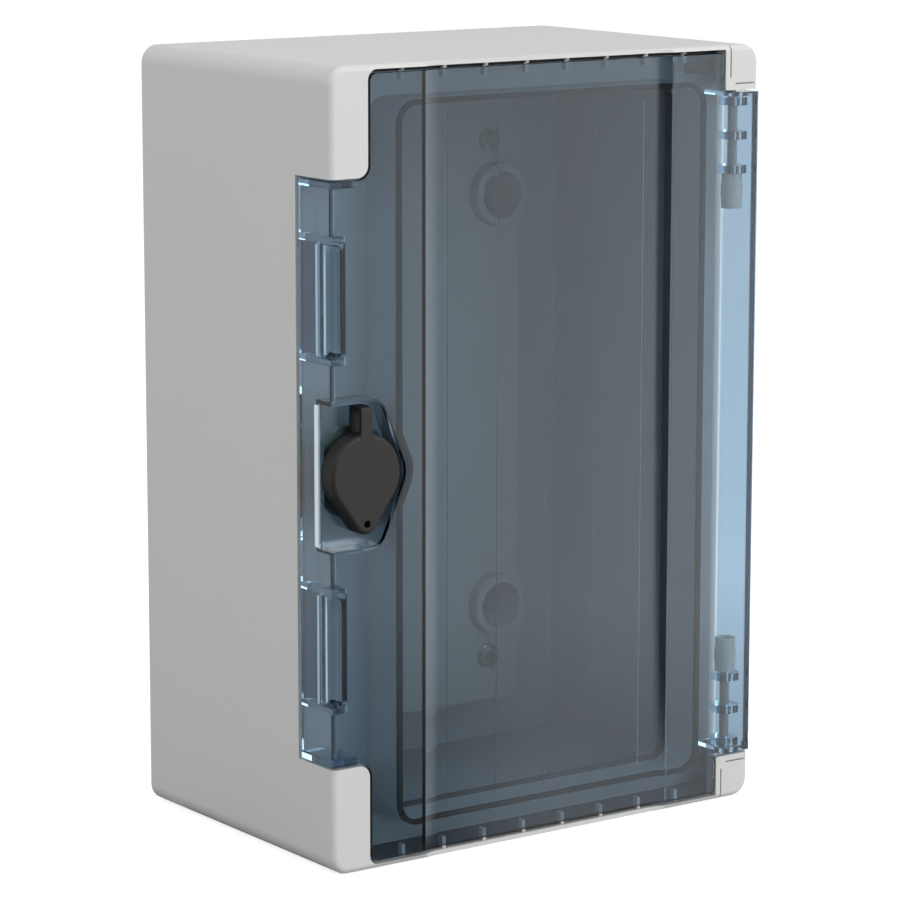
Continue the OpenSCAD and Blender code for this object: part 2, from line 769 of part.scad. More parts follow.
module lock_cam() {
    color(zinc) difference() {
        slab(cam_y, cam_back_y) translate([lock_x, mid_z]) union() {
            circle(cam_hub_r);
            translate([-cam_w / 2, 0]) square([cam_w, cam_reach - cam_w / 4]);
            translate([-cam_w / 4, 0]) square([cam_w / 2, cam_reach]);
            for (s = [-1, 1]) translate([s * cam_w / 4, cam_reach - cam_w / 4]) circle(cam_w / 4);
        }
        block([lock_x - square_w / 2 - run_fit, cam_y - over, mid_z - square_w / 2 - run_fit],
              [lock_x + square_w / 2 + run_fit, cam_back_y + over, mid_z + square_w / 2 + run_fit]);
    }
}

module cam_washer() {
    color(zinc) difference() {
        rod(lock_x, mid_z, cam_back_y, cam_back_y + washer_t, cam_washer_r);
        rod(lock_x, mid_z, cam_back_y - over, cam_back_y + washer_t + over, cam_screw_d / 2 + seat_fit);
    }
}

module cam_screw() {
    color(zinc) translate([lock_x, cam_back_y + washer_t, mid_z]) rotate([0, 0, 180])
        pan_screw(cam_screw_d, washer_t + cam_t + cam_screw_bite - over, cam_screw_r, screw_head_t);
}

// Lock dust cover

// The cover's front outline: a round body with a pull tab below
module cover_outline() {
    drop = tab_reach - tab_r;
    lean = asin((cover_r - tab_r) / drop);
    circle(cover_r);
    polygon([[cover_r * cos(lean), -cover_r * sin(lean)], [tab_r * cos(lean), -drop - tab_r * sin(lean)],
             [-tab_r * cos(lean), -drop - tab_r * sin(lean)], [-cover_r * cos(lean), -cover_r * sin(lean)]]);
    translate([0, -drop]) circle(tab_r);
}

module lock_cover() {
    notch_w = strap_w + 2 * air;
    color(rubber_black) difference() {
        union() {
            translate([lock_x, 0, mid_z]) slab(cover_y, cover_back_y) cover_outline();
            block([lock_x - strap_w / 2, cover_y, mid_z],
                  [lock_x + strap_w / 2, cover_y + strap_t, pivot_z]);
            translate([lock_x - strap_w / 2, pivot_y, pivot_z]) rotate([0, 90, 0])
                cylinder(d = strap_t, h = strap_w);
        }
        rod(lock_x, mid_z, cover_y + cover_front, cover_back_y + over, cover_hollow_r);
        block([lock_x - notch_w / 2, floor_y - 2 * tether_t - air, mid_z],
              [lock_x + notch_w / 2, cover_back_y + over, pivot_z + over]);
        rod(lock_x, mid_z - tab_reach + tab_r / 2 + tab_hole_d / 2, cover_y - over, cover_back_y + over,
            tab_hole_d / 2);
    }
}

// The strap folds back over the top, runs down the pocket's floor and ends in a ring under the head
module lock_cover_tether() {
    leg_y = floor_y - tether_t - seat_fit / 2;
    color(rubber_black) difference() {
        union() {
            block([lock_x - strap_w / 2, cover_y + strap_t + air, pivot_z - strap_t / 2],
                  [lock_x + strap_w / 2, floor_y - seat_fit / 2, pivot_z + strap_t / 2]);
            block([lock_x - strap_w / 2, leg_y, mid_z + barrel_d / 4],
                  [lock_x + strap_w / 2, floor_y - seat_fit / 2, pivot_z]);
            rod(lock_x, mid_z, leg_y, floor_y - seat_fit / 2, head_d / 2 + tether_rim);
        }
        rod(lock_x, mid_z, leg_y - over, floor_y + over, barrel_d / 2 + seat_fit);
    }
}

casing();
sealing_frame();
mounting_plate();
plate_inserts();
plate_washers();
plate_screws();
door_panel();
door_gasket();
hinge_pin_top();
hinge_pin_bottom();
lock_body();
lock_nut();
lock_cover_tether();
lock_cover();
lock_spindle();
lock_cam();
cam_washer();
cam_screw();
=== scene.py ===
# %% [markdown]
# # A wall cabinet with a clear door
# The cabinet's construction comes packed from CAD as a frame of bodies and nodes. This lesson dresses that
# frame: it sets up the camera and a plain studio, makes the finishes from procedural nodes, rounds the
# moulded edges, and adds the small pieces that the solids leave plain. Everything is in metres, in the
# frame's own axes: +X to the right, +Y towards the wall, +Z up.

# %% Load the frame
import math

import bmesh
import bpy
from mathutils import Matrix, Vector


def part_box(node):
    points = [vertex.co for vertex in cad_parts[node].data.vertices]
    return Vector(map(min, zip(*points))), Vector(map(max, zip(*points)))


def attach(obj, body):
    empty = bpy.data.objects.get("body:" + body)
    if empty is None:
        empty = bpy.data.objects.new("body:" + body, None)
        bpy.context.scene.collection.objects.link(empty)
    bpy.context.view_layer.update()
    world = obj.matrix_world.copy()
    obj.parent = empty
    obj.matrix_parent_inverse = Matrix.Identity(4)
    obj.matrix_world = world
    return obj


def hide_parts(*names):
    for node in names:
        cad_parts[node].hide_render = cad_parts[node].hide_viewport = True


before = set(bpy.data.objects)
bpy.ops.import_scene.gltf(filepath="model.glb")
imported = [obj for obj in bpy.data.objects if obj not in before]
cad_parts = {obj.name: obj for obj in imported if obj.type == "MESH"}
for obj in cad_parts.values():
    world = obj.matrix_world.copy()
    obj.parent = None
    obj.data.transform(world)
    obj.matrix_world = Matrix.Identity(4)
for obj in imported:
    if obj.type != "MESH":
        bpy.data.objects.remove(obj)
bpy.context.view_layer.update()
scene = bpy.context.scene
MM = 0.001
X, Y, Z = 0, 1, 2

# %% [markdown]
# ## Camera
# The cabinet was photographed with a long lens, a little from the left and from slightly above. The lens and
# the place of the camera were fitted to the cabinet's outline, so the render can be laid over the photograph.
# A rotation in three plain turns (round the upright, then the tilt, then the roll) is easy to read and to
# change.

# %% Camera
CAMERA_PLACE = Vector((-0.84290, -1.17431, 0.40548))
CAMERA_YAW, CAMERA_PITCH, CAMERA_ROLL = -35.656, 10.370, 0.061
CAMERA_LENS = 149.5
CAMERA_SENSOR = 36.0


def turn(degrees, axis):
    return Matrix.Rotation(math.radians(degrees), 4, axis)


camera_data = bpy.data.cameras.new("photo_camera")
camera_data.lens = CAMERA_LENS
camera_data.sensor_width = CAMERA_SENSOR
camera = bpy.data.objects.new("photo_camera", camera_data)
scene.collection.objects.link(camera)
aim = turn(CAMERA_YAW, "Z") @ turn(90 - CAMERA_PITCH, "X") @ turn(CAMERA_ROLL, "Z")
camera.matrix_world = Matrix.Translation(CAMERA_PLACE) @ aim
scene.camera = camera
scene.view_settings.view_transform = "Standard"
print("camera lens", camera_data.lens, "at", tuple(round(v, 3) for v in CAMERA_PLACE))

# %% [markdown]
# ## Studio
# A catalogue picture has a pure white ground and soft light from all round. The world gives the even part of
# that light. Three large lamps add the rest, so that the front is the brightest side, then the top, then the
# left. Rays that reach the world straight from the camera, or through the clear door, see plain white. The
# floor does the same in part, and keeps a soft shadow under the cabinet. Walls of real geometry could stand
# round the cabinet instead, but a world told by direction costs nothing to render.

# %% Node helper


def new_node(tree, kind, inputs=None, **settings):
    """Adds a node, sets its properties, and sets or links its inputs."""
    node = tree.nodes.new(kind)
    for name, value in settings.items():
        setattr(node, name, value)
    for name, value in (inputs or {}).items():
        if isinstance(value, bpy.types.NodeSocket):
            tree.links.new(value, node.inputs[name])
        else:
            node.inputs[name].default_value = value
    return node


# %% What a mirror sees
# A polished face shows what stands round the cabinet: a dark room behind the camera, a white wall to the
# right and behind, and a dimmer one to the left. How far a direction points to the camera's side tells which.
CAMERA_SIDE = (CAMERA_PLACE * Vector((1, 1, 0))).normalized()
RIGHT_SIDE = Vector((-CAMERA_SIDE.y, CAMERA_SIDE.x, 0))
DARK_WITHIN = math.cos(math.radians(56))
BRIGHT_BEYOND = math.cos(math.radians(78))
DARK_LEVEL = 0.10
LEFT_LEVEL = 0.55
RIGHT_LEVEL = 1.0
WALL_BLEND = 0.5


def vector_math(tree, operation, one, other=None):
    """A vector operation on one or two inputs."""
    inputs = {0: one} if other is None else {0: one, 1: other}
    return new_node(tree, "ShaderNodeVectorMath", inputs, operation=operation)


def mirror_level(tree, place):
    """The level that a mirror sees at a place or in a direction."""
    flat = vector_math(tree, "MULTIPLY", place, (1, 1, 0))
    flat = vector_math(tree, "NORMALIZE", flat.outputs[0])
    ahead = vector_math(tree, "DOT_PRODUCT", flat.outputs[0], CAMERA_SIDE)
    beside = vector_math(tree, "DOT_PRODUCT", flat.outputs[0], RIGHT_SIDE)
    wall = new_node(tree, "ShaderNodeMapRange", {
        "Value": beside.outputs["Value"], "From Min": -WALL_BLEND, "From Max": WALL_BLEND,
        "To Min": LEFT_LEVEL, "To Max": RIGHT_LEVEL})
    level = new_node(tree, "ShaderNodeMapRange", {
        "Value": ahead.outputs["Value"], "From Min": DARK_WITHIN, "From Max": BRIGHT_BEYOND,
        "To Min": DARK_LEVEL, "To Max": wall.outputs[0]}, interpolation_type="SMOOTHSTEP")
    return level.outputs[0]


print("mirror levels: dark", DARK_LEVEL, "left", LEFT_LEVEL, "right", RIGHT_LEVEL)

# %% Rays that show the studio


def plain_math(tree, operation, *values):
    """The result of a math node on numbers or sockets."""
    return new_node(tree, "ShaderNodeMath", dict(enumerate(values)), operation=operation).outputs[0]


def unscattered(tree, *rays):
    """A factor that is 1 for these kinds of rays, unless a matt surface has scattered the light before."""
    path = new_node(tree, "ShaderNodeLightPath")
    kind = path.outputs[rays[0]]
    for ray in rays[1:]:
        kind = plain_math(tree, "MAXIMUM", kind, path.outputs[ray])
    fresh = plain_math(tree, "LESS_THAN", path.outputs["Diffuse Depth"], 0.5)
    return plain_math(tree, "MULTIPLY", kind, fresh)


# %% World
SKY_LIGHT = 0.56
SHOWN_LEVEL = 1.0
WHITE = (1, 1, 1, 1)

world = bpy.data.worlds.new("studio")
scene.world = world
world.use_nodes = True
tree = world.node_tree
tree.nodes.clear()
place = new_node(tree, "ShaderNodeTexCoord")
mirrored_level = mirror_level(tree, place.outputs["Generated"])
lighting = new_node(tree, "ShaderNodeBackground", {"Color": WHITE, "Strength": SKY_LIGHT})
shown = new_node(tree, "ShaderNodeBackground", {"Color": WHITE, "Strength": SHOWN_LEVEL})
mirrored = new_node(tree, "ShaderNodeBackground", {"Color": WHITE, "Strength": mirrored_level})
view = unscattered(tree, "Is Camera Ray", "Is Transmission Ray")
mirror = unscattered(tree, "Is Glossy Ray")
sky = new_node(tree, "ShaderNodeMixShader", {0: view, 1: lighting.outputs[0], 2: shown.outputs[0]})
sky = new_node(tree, "ShaderNodeMixShader", {0: mirror, 1: sky.outputs[0], 2: mirrored.outputs[0]})
new_node(tree, "ShaderNodeOutputWorld", {"Surface": sky.outputs[0]})
print("sky light", SKY_LIGHT)

# %% Floor finish
# The floor is pale paper with a glow that only the view sees. In a mirror it dims close to the cabinet, as a
# real table top does.
FLOOR_GLOW = 0.80
FLOOR_PAPER = 0.42
FLOOR_NEAR, FLOOR_FAR = 0.13, 0.45
NEAR_LEVEL = 0.66
FLOOR_SHIFT = (-0.10, 0.05, 0)

floor_material = bpy.data.materials.new("studio_floor")
floor_material.use_nodes = True
tree = floor_material.node_tree
tree.nodes.clear()
place = new_node(tree, "ShaderNodeTexCoord")
paper = new_node(tree, "ShaderNodeBsdfDiffuse", {"Color": (FLOOR_PAPER, FLOOR_PAPER, FLOOR_PAPER, 1)})
view = unscattered(tree, "Is Camera Ray", "Is Transmission Ray")
glow_level = plain_math(tree, "MULTIPLY", view, FLOOR_GLOW)
glow = new_node(tree, "ShaderNodeEmission", {"Color": WHITE, "Strength": glow_level})
seen = new_node(tree, "ShaderNodeAddShader", {0: paper.outputs[0], 1: glow.outputs[0]})
distance = vector_math(tree, "LENGTH", place.outputs["Object"])
fade = new_node(tree, "ShaderNodeMapRange", {
    "Value": distance.outputs["Value"], "From Min": FLOOR_NEAR, "From Max": FLOOR_FAR,
    "To Min": NEAR_LEVEL, "To Max": 1.0})
shifted = vector_math(tree, "SUBTRACT", place.outputs["Object"], FLOOR_SHIFT)
faded = plain_math(tree, "MULTIPLY", mirror_level(tree, shifted.outputs[0]), fade.outputs[0])
mirrored = new_node(tree, "ShaderNodeEmission", {"Color": WHITE, "Strength": faded})
mirror = unscattered(tree, "Is Glossy Ray")
both = new_node(tree, "ShaderNodeMixShader", {0: mirror, 1: seen.outputs[0], 2: mirrored.outputs[0]})
new_node(tree, "ShaderNodeOutputMaterial", {"Surface": both.outputs[0]})
print("floor finish with", len(tree.nodes), "nodes")

# %% Floor
FLOOR_HALF = 4.0
FLOOR_DROP = -0.2 * MM

floor_corners = [(-FLOOR_HALF, -FLOOR_HALF, FLOOR_DROP), (FLOOR_HALF, -FLOOR_HALF, FLOOR_DROP),
                 (FLOOR_HALF, FLOOR_HALF, FLOOR_DROP), (-FLOOR_HALF, FLOOR_HALF, FLOOR_DROP)]
floor_mesh = bpy.data.meshes.new("studio_floor")
floor_mesh.from_pydata(floor_corners, [], [(0, 1, 2, 3)])
floor_mesh.materials.append(floor_material)
floor = bpy.data.objects.new("studio_floor", floor_mesh)
scene.collection.objects.link(floor)
print("floor", 2 * FLOOR_HALF, "m wide")

# %% Lamps
# Each lamp has a place, a size and a power in watts.
LAMP_TARGET = Vector((0, 0, 0.15))
LAMPS = {
    "front_softbox": ((0.9, -2.1, 1.1), 1.8, 43.0),
    "top_softbox": ((-0.2, -0.2, 2.3), 1.8, 3.0),
    "left_softbox": ((-1.6, 0.0, 1.4), 1.2, 11.0),
}
for name, (place, size, power) in LAMPS.items():
    lamp_data = bpy.data.lights.new(name, "AREA")
    lamp_data.shape = "SQUARE"
    lamp_data.size = size
    lamp_data.energy = power
    lamp = bpy.data.objects.new(name, lamp_data)
    lamp.location = place
    lamp.rotation_mode = "QUATERNION"
    lamp.rotation_quaternion = (LAMP_TARGET - Vector(place)).to_track_quat("-Z", "Y")
    scene.collection.objects.link(lamp)
    print(name, power, "W")

# %% [markdown]
# ## Finishes
# Moulded plastic is never one flat colour: the tool's spark-eroded texture leaves a very fine grain, the tone
# drifts a little over a large wall, and the roughness changes with it. Each material could carry its own
# noise nodes. One shader group makes all three instead, and each finish places it with its own values.

# %% The moulded grain group
DRIFT_SCALE, DRIFT_DETAIL = 11.0, 3.0
GRAIN_DETAIL = 2.0
NOISE_MIDDLE = 0.5


def new_group(name, sockets):
    """A shader group with its named sockets: (name, in or out, type, default)."""
    group = bpy.data.node_groups.new(name, "ShaderNodeTree")
    for label, side, kind, default in sockets:
        socket = group.interface.new_socket(name=label, in_out=side, socket_type=kind)
        if default is not None:
            socket.default_value = default
    return group


FLOAT, COLOUR = "NodeSocketFloat", "NodeSocketColor"
grain_group = new_group("moulded_grain", [
    ("Tone", "INPUT", COLOUR, (0.6, 0.6, 0.6, 1)),
    ("Drift", "INPUT", FLOAT, 0.03),
    ("Grain Scale", "INPUT", FLOAT, 1800.0),
    ("Mean Roughness", "INPUT", FLOAT, 0.4),
    ("Roughness Drift", "INPUT", FLOAT, 0.06),
    ("Color", "OUTPUT", COLOUR, None),
    ("Roughness", "OUTPUT", FLOAT, None),
    ("Height", "OUTPUT", FLOAT, None),
])
tree = grain_group
given = new_node(tree, "NodeGroupInput").outputs
place = new_node(tree, "ShaderNodeTexCoord").outputs["Object"]
drift = new_node(tree, "ShaderNodeTexNoise", {"Vector": place, "Scale": DRIFT_SCALE, "Detail": DRIFT_DETAIL})
grain = new_node(tree, "ShaderNodeTexNoise", {"Vector": place, "Scale": given["Grain Scale"],
                                              "Detail": GRAIN_DETAIL})
centred = plain_math(tree, "SUBTRACT", drift.outputs[0], NOISE_MIDDLE)
swing = plain_math(tree, "MULTIPLY", centred, given["Drift"])
level = plain_math(tree, "ADD", swing, 1.0)
tone = new_node(tree, "ShaderNodeVectorMath", {0: given["Tone"], "Scale": level}, operation="SCALE")
fleck = plain_math(tree, "ADD", grain.outputs[0], centred)
roughness = plain_math(tree, "MULTIPLY_ADD", fleck, given["Roughness Drift"], given["Mean Roughness"])
new_node(tree, "NodeGroupOutput", {"Color": tone.outputs[0], "Roughness": roughness,
                                   "Height": grain.outputs[0]})
print("group", grain_group.name, "with", len(grain_group.nodes), "nodes")

# %% Opaque finishes


def grained_material(name, tone, drift=0.03, scale=1800.0, rough=0.4, rough_drift=0.06, depth=0.02 * MM,
                     metallic=0.0, specular=0.5):
    """A principled material fed by the moulded grain group."""
    material = bpy.data.materials.new(name)
    material.use_nodes = True
    tree = material.node_tree
    tree.nodes.clear()
    grain = new_node(tree, "ShaderNodeGroup", node_tree=grain_group)
    values = {"Tone": (*tone, 1), "Drift": drift, "Grain Scale": scale, "Mean Roughness": rough,
              "Roughness Drift": rough_drift}
    for label, value in values.items():
        grain.inputs[label].default_value = value
    bump = new_node(tree, "ShaderNodeBump", {"Height": grain.outputs["Height"], "Strength": 1.0,
                                             "Distance": depth})
    skin = new_node(tree, "ShaderNodeBsdfPrincipled", {
        "Base Color": grain.outputs["Color"], "Roughness": grain.outputs["Roughness"], "Metallic": metallic,
        "Specular IOR Level": specular, "Normal": bump.outputs[0]})
    new_node(tree, "ShaderNodeOutputMaterial", {"Surface": skin.outputs[0]})
    print("finish", name)
    return material


# %% Plastics and rubbers
casing_plastic = grained_material("casing_plastic", (0.605, 0.605, 0.601), rough=0.5, specular=0.35)
frame_plastic = grained_material("frame_plastic", (0.56, 0.57, 0.58), rough=0.38)
plate_laminate = grained_material("plate_laminate", (0.52, 0.50, 0.47), drift=0.10, scale=700.0, rough=0.55)
# Painted shade for the casing's hidden lip faces.
lip_shade = grained_material("lip_shade", (0.150, 0.160, 0.170), drift=0.1, rough=0.6)
pin_plastic = grained_material("pin_plastic", (0.92, 0.85, 0.78), rough=0.45)
pin_shaft = grained_material("pin_shaft", (0.50, 0.46, 0.42), rough=0.35)
# Painted shade for the back end of the sealing frame's opening.
collar_edge_shade = grained_material("collar_edge_shade", (0.160, 0.165, 0.170), drift=0.15, rough=0.7, specular=0.3)
gasket_foam = grained_material("gasket_foam", (0.045, 0.040, 0.036), drift=0.2, scale=2600.0, rough=0.85,
                               depth=0.08 * MM, specular=0.3)
cover_rubber = grained_material("cover_rubber", (0.022, 0.021, 0.020), drift=0.15, scale=2200.0, rough=0.55,
                                depth=0.015 * MM, specular=0.35)

# %% Metals
zinc_casting = grained_material("zinc_casting", (0.55, 0.56, 0.55), drift=0.12, scale=900.0, rough=0.38,
                                rough_drift=0.12, metallic=1.0)
zinc_plate = grained_material("zinc_plate", (0.60, 0.63, 0.58), drift=0.15, scale=500.0, rough=0.25,
                              rough_drift=0.15, depth=0.005 * MM, metallic=1.0)
nut_zinc = grained_material("nut_zinc", (0.30, 0.38, 0.30), drift=0.15, scale=500.0, rough=0.35,
                            depth=0.005 * MM, metallic=0.6)
turned_brass = grained_material("turned_brass", (0.70, 0.52, 0.22), drift=0.1, scale=800.0, rough=0.25,
                                depth=0.005 * MM, metallic=1.0)

# %% Lines and edges of the door
etched_line = grained_material("etched_line", (0.110, 0.115, 0.120), drift=0.1, scale=900.0, rough=0.6)
pale_line = grained_material("pale_line", (0.42, 0.42, 0.42), drift=0.3, scale=300.0, rough=0.6)
# Painted light for clear edges that shine, and painted shade for clear faces that stay dark.
lit_edge = grained_material("lit_edge", (0.80, 0.92, 1.0), drift=0.05, scale=400.0, rough=0.5)
flange_shade = grained_material("flange_shade", (0.10, 0.12, 0.14), drift=0.1, rough=0.5)
edge_shade = grained_material("edge_shade", (0.016, 0.018, 0.022), drift=0.1, rough=0.7, specular=0.3)
grip_light = grained_material("grip_light", (0.46, 0.63, 0.80), drift=0.05, scale=400.0, rough=0.5)

# %% [markdown]
# ## The clear door
# The door is one polycarbonate moulding in a smoky blue. All of its tint could sit in the depth of the
# plastic, but then thick corners turn nearly black. So most of it is given to light as it crosses a surface,
# and every wall is about as blue as the next. A weak absorption in the depth adds to that, so that an edge
# that guides light along the wall is a deeper blue, and still shines. A slow wave in the surface and a thin
# film keep the door from looking like a perfect sheet of glass.

# %% Clear finish
CLEAR_IOR = 1.66
CLEAR_TINT = (0.675, 0.815, 0.915, 1)
CLEAR_DEEP = (0.655, 0.795, 0.895, 1)
# The grip tints are darker than the clear tints: painted shade on the flange behind the finger grips.
GRIP_SHADE_TINT = (0.54, 0.62, 0.69, 1)
GRIP_SHADE_DEEP = (0.52, 0.60, 0.67, 1)
DEPTH_COLOUR = (0.22, 0.42, 0.60, 1)
DEPTH_DENSITY = 45.0
RIPPLE_SCALE, RIPPLE_DETAIL = 26.0, 1.0
RIPPLE_DEPTH = 0.006 * MM
FILM_SCALE, FILM_DETAIL = 60.0, 4.0
FILM_ROUGHNESS = 0.03


def clear_material(name, tint, deep):
    """A clear finish that wavers between two tints."""
    material = bpy.data.materials.new(name)
    material.use_nodes = True
    tree = material.node_tree
    tree.nodes.clear()
    place = new_node(tree, "ShaderNodeTexCoord").outputs["Object"]
    ripple = new_node(tree, "ShaderNodeTexNoise", {"Vector": place, "Scale": RIPPLE_SCALE,
                                                   "Detail": RIPPLE_DETAIL}).outputs[0]
    wave = new_node(tree, "ShaderNodeBump", {"Height": ripple, "Strength": 1.0, "Distance": RIPPLE_DEPTH})
    film = new_node(tree, "ShaderNodeTexNoise", {"Vector": place, "Scale": FILM_SCALE, "Detail": FILM_DETAIL})
    polish = new_node(tree, "ShaderNodeMapRange", {"Value": film.outputs[0], "To Min": 0.0,
                                                   "To Max": FILM_ROUGHNESS})
    shade = new_node(tree, "ShaderNodeMix", {"Factor": ripple, "A": tint, "B": deep}, data_type="RGBA")
    clear = new_node(tree, "ShaderNodeBsdfPrincipled", {
        "Base Color": shade.outputs["Result"], "Roughness": polish.outputs[0], "IOR": CLEAR_IOR,
        "Transmission Weight": 1.0, "Normal": wave.outputs[0]})
    depth = new_node(tree, "ShaderNodeVolumeAbsorption", {"Color": DEPTH_COLOUR, "Density": DEPTH_DENSITY})
    new_node(tree, "ShaderNodeOutputMaterial", {"Surface": clear.outputs[0], "Volume": depth.outputs[0]})
    print("clear finish", name, "refraction", CLEAR_IOR)
    return material


clear_plastic = clear_material("clear_plastic", CLEAR_TINT, CLEAR_DEEP)
grip_shaded_plastic = clear_material("grip_shaded_plastic", GRIP_SHADE_TINT, GRIP_SHADE_DEEP)

# %% [markdown]
# ## Pieces that keep their CAD shape
# The mounting plate, its screws, the gasket and the parts of the lock are small or lie deep in the cabinet.
# Their edges could be rounded too, but no view comes close enough to show it. Such a node only needs its
# finish: its mesh stays as it is, and the material goes into its slot.

# %% Dress the plain nodes
NODE_FINISH = {
    "mounting_plate": plate_laminate, "plate_inserts": turned_brass, "plate_washers": zinc_plate,
    "plate_screws": zinc_plate, "lock_body": zinc_casting, "lock_nut": nut_zinc,
    "lock_cover_tether": cover_rubber, "lock_spindle": zinc_casting, "lock_cam": zinc_plate,
    "cam_washer": zinc_plate, "cam_screw": zinc_plate, "door_gasket": gasket_foam,
}
for node, material in NODE_FINISH.items():
    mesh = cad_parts[node].data
    mesh.materials.clear()
    mesh.materials.append(material)
print("dressed", len(NODE_FINISH), "nodes")

# %% [markdown]
# ## Rounded mouldings
# A moulded edge is never sharp, and it is the small round edges that catch the light. A bevel in the shader
# could fake them, but the exported mesh would lose it. So a copy of a node is cleaned (its loose triangles
# are merged and its flat faces joined), its sharp edges are rounded by a bevel, and its normals are weighted
# by area, so that flat faces stay flat right up to the rounding.

# %% Clean copies
MERGE_WITHIN = 1e-6
FLAT_WITHIN = math.radians(0.3)


def clean_copy(node):
    """A copy of a node's mesh as one surface, with flat faces in one piece."""
    shape = bmesh.new()
    shape.from_mesh(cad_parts[node].data)
    bmesh.ops.remove_doubles(shape, verts=shape.verts, dist=MERGE_WITHIN)
    bmesh.ops.dissolve_limit(shape, angle_limit=FLAT_WITHIN, verts=shape.verts, edges=shape.edges)
    mesh = bpy.data.meshes.new(node + "_rounded")
    shape.to_mesh(mesh)
    shape.free()
    return mesh


def link_piece(name, mesh, *finishes):
    """An object at the origin with its finishes."""
    for finish in finishes:
        mesh.materials.append(finish)
    piece = bpy.data.objects.new(name, mesh)
    scene.collection.objects.link(piece)
    return piece


def apply_modifiers(piece):
    """Turns what the modifiers make into the piece's own mesh."""
    made = bpy.data.meshes.new_from_object(piece.evaluated_get(bpy.context.evaluated_depsgraph_get()))
    piece.modifiers.clear()
    piece.data = made


# %% Rounded pieces
SHARP = math.radians(25)
ROUND_SEGMENTS = 3
NORMAL_WEIGHT = 100


def rounded_piece(node, finishes, body, radius, shape_up):
    """A rounded copy that stands in for a CAD node. It is shaped up before its edges are rounded."""
    mesh = clean_copy(node)
    shape_up(mesh)
    for polygon in mesh.polygons:
        polygon.use_smooth = True
    piece = link_piece(node + "_rounded", mesh, *finishes)
    bevel = piece.modifiers.new("round", "BEVEL")
    bevel.width = radius
    bevel.segments = ROUND_SEGMENTS
    bevel.limit_method = "ANGLE"
    bevel.angle_limit = SHARP
    bevel.use_clamp_overlap = True
    normals = piece.modifiers.new("normals", "WEIGHTED_NORMAL")
    normals.mode = "FACE_AREA"
    normals.weight = NORMAL_WEIGHT
    apply_modifiers(piece)
    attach(piece, body)
    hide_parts(node)
    print(piece.name, len(piece.data.polygons), "faces")


# %% [markdown]
# ## Faces with a finish of their own
# One moulding can look different from face to face. The edge of a clear wall that shines where light leaves
# it gets painted light, a face deep in a gap gets painted shade, and a shaft gets a darker, smoother finish.
# A mask in the material could tell these faces apart. Giving them another material slot is simpler, and the
# edge between two finishes stays sharp. Where a finish ends in the middle of a face, the face is cut there
# first.

# %% Helpers for faces
FACE_NEAR = 0.05 * MM
FACING = 0.9
ALONG = 0.1

middle_z = sum(corner.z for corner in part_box("casing")) / 2


def near(value, target):
    return abs(value - target) < FACE_NEAR


def lies_at(face, axis, place):
    """Tells whether a whole face lies at one place along an axis."""
    return all(near(corner.co[axis], place) for corner in face.verts)


def finish_faces(mesh, finishes, finish, chosen):
    """Gives the faces that a test picks one of the other finishes of their piece."""
    slot = finishes.index(finish)
    count = 0
    for polygon in mesh.polygons:
        if chosen(polygon.center, polygon.normal):
            polygon.material_index = slot
            count += 1
    print(mesh.name, count, "faces with", finish.name)


def cut_faces(mesh, axis, places, chosen):
    """Cuts the faces that a test picks at some places along an axis."""
    across = Vector((0, 0, 0))
    across[axis] = 1
    shape = bmesh.new()
    shape.from_mesh(mesh)
    for place in places:
        picked = [face for face in shape.faces if chosen(face)]
        edges = {edge for face in picked for edge in face.edges}
        corners = {corner for face in picked for corner in face.verts}
        bmesh.ops.bisect_plane(shape, geom=[*picked, *edges, *corners], plane_co=across * place,
                               plane_no=across)
    shape.to_mesh(mesh)
    shape.free()


print("middle height", round(middle_z, 4))

# %% [markdown]
# ## The casing and the sealing frame
# The casing's lips have hidden faces that look at the door's edges. Hardly any light reaches them, so they
# get a painted shade. The front rims of the wall tubes get the mounting plate's darker tone as painted shade.
# Behind the sealing collar a dark band of painted shade runs round the back end of the opening. It could be a
# strip of its own, but a band of the collar's own faces cannot come loose or clip.

# %% Casing
LIP_INNER = 1.7 * MM
LIP_LIT = 5.0 * MM
TUBE_PROUD = 5.0 * MM
CASING_ROUND = 0.35 * MM

casing_finishes = [casing_plastic, lip_shade, plate_laminate]


def shape_casing(mesh):
    """Paints shade on the lips' hidden faces, behind a strip that light still reaches, and on the wall tubes'
    rims.
    """
    low_corner, high_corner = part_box("casing")
    top = high_corner.z - LIP_INNER
    lit_end = low_corner.y + LIP_LIT
    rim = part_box("mounting_plate")[0].y - TUBE_PROUD
    cut_faces(mesh, Y, [lit_end], lambda face: lies_at(face, Z, LIP_INNER))
    # The lips' hidden faces get painted shade, except a front strip of the lower lip that light reaches.
    finish_faces(mesh, casing_finishes, lip_shade, lambda centre, normal: (
        (normal.z < -FACING and near(centre.z, top)) or
        (normal.z > FACING and near(centre.z, LIP_INNER) and centre.y > lit_end)))
    # The wall tubes' front rims get the plate's darker tone as painted shade.
    finish_faces(mesh, casing_finishes, plate_laminate, lambda centre, normal: (
        normal.y < -FACING and near(centre.y, rim)))


rounded_piece("casing", casing_finishes, "cabinet", CASING_ROUND, shape_casing)

# %% Sealing frame
SHADE_BAND_DEPTH = 6.5 * MM
FRAME_ROUND = 0.20 * MM

frame_finishes = [frame_plastic, collar_edge_shade]


def shade_behind_collar(mesh):
    """Picks a narrow band round the back end of the sealing frame's opening, for painted shade."""
    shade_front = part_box("sealing_frame")[1].y - SHADE_BAND_DEPTH
    middle = sum(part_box("sealing_frame"), Vector()) / 2
    cut_faces(mesh, Y, [shade_front], lambda face: abs(face.normal.y) < ALONG)
    finish_faces(mesh, frame_finishes, collar_edge_shade, lambda centre, normal: (
        abs(normal.y) < ALONG and centre.y > shade_front and (middle - centre).dot(normal) > 0))


rounded_piece("sealing_frame", frame_finishes, "cabinet", FRAME_ROUND, shade_behind_collar)
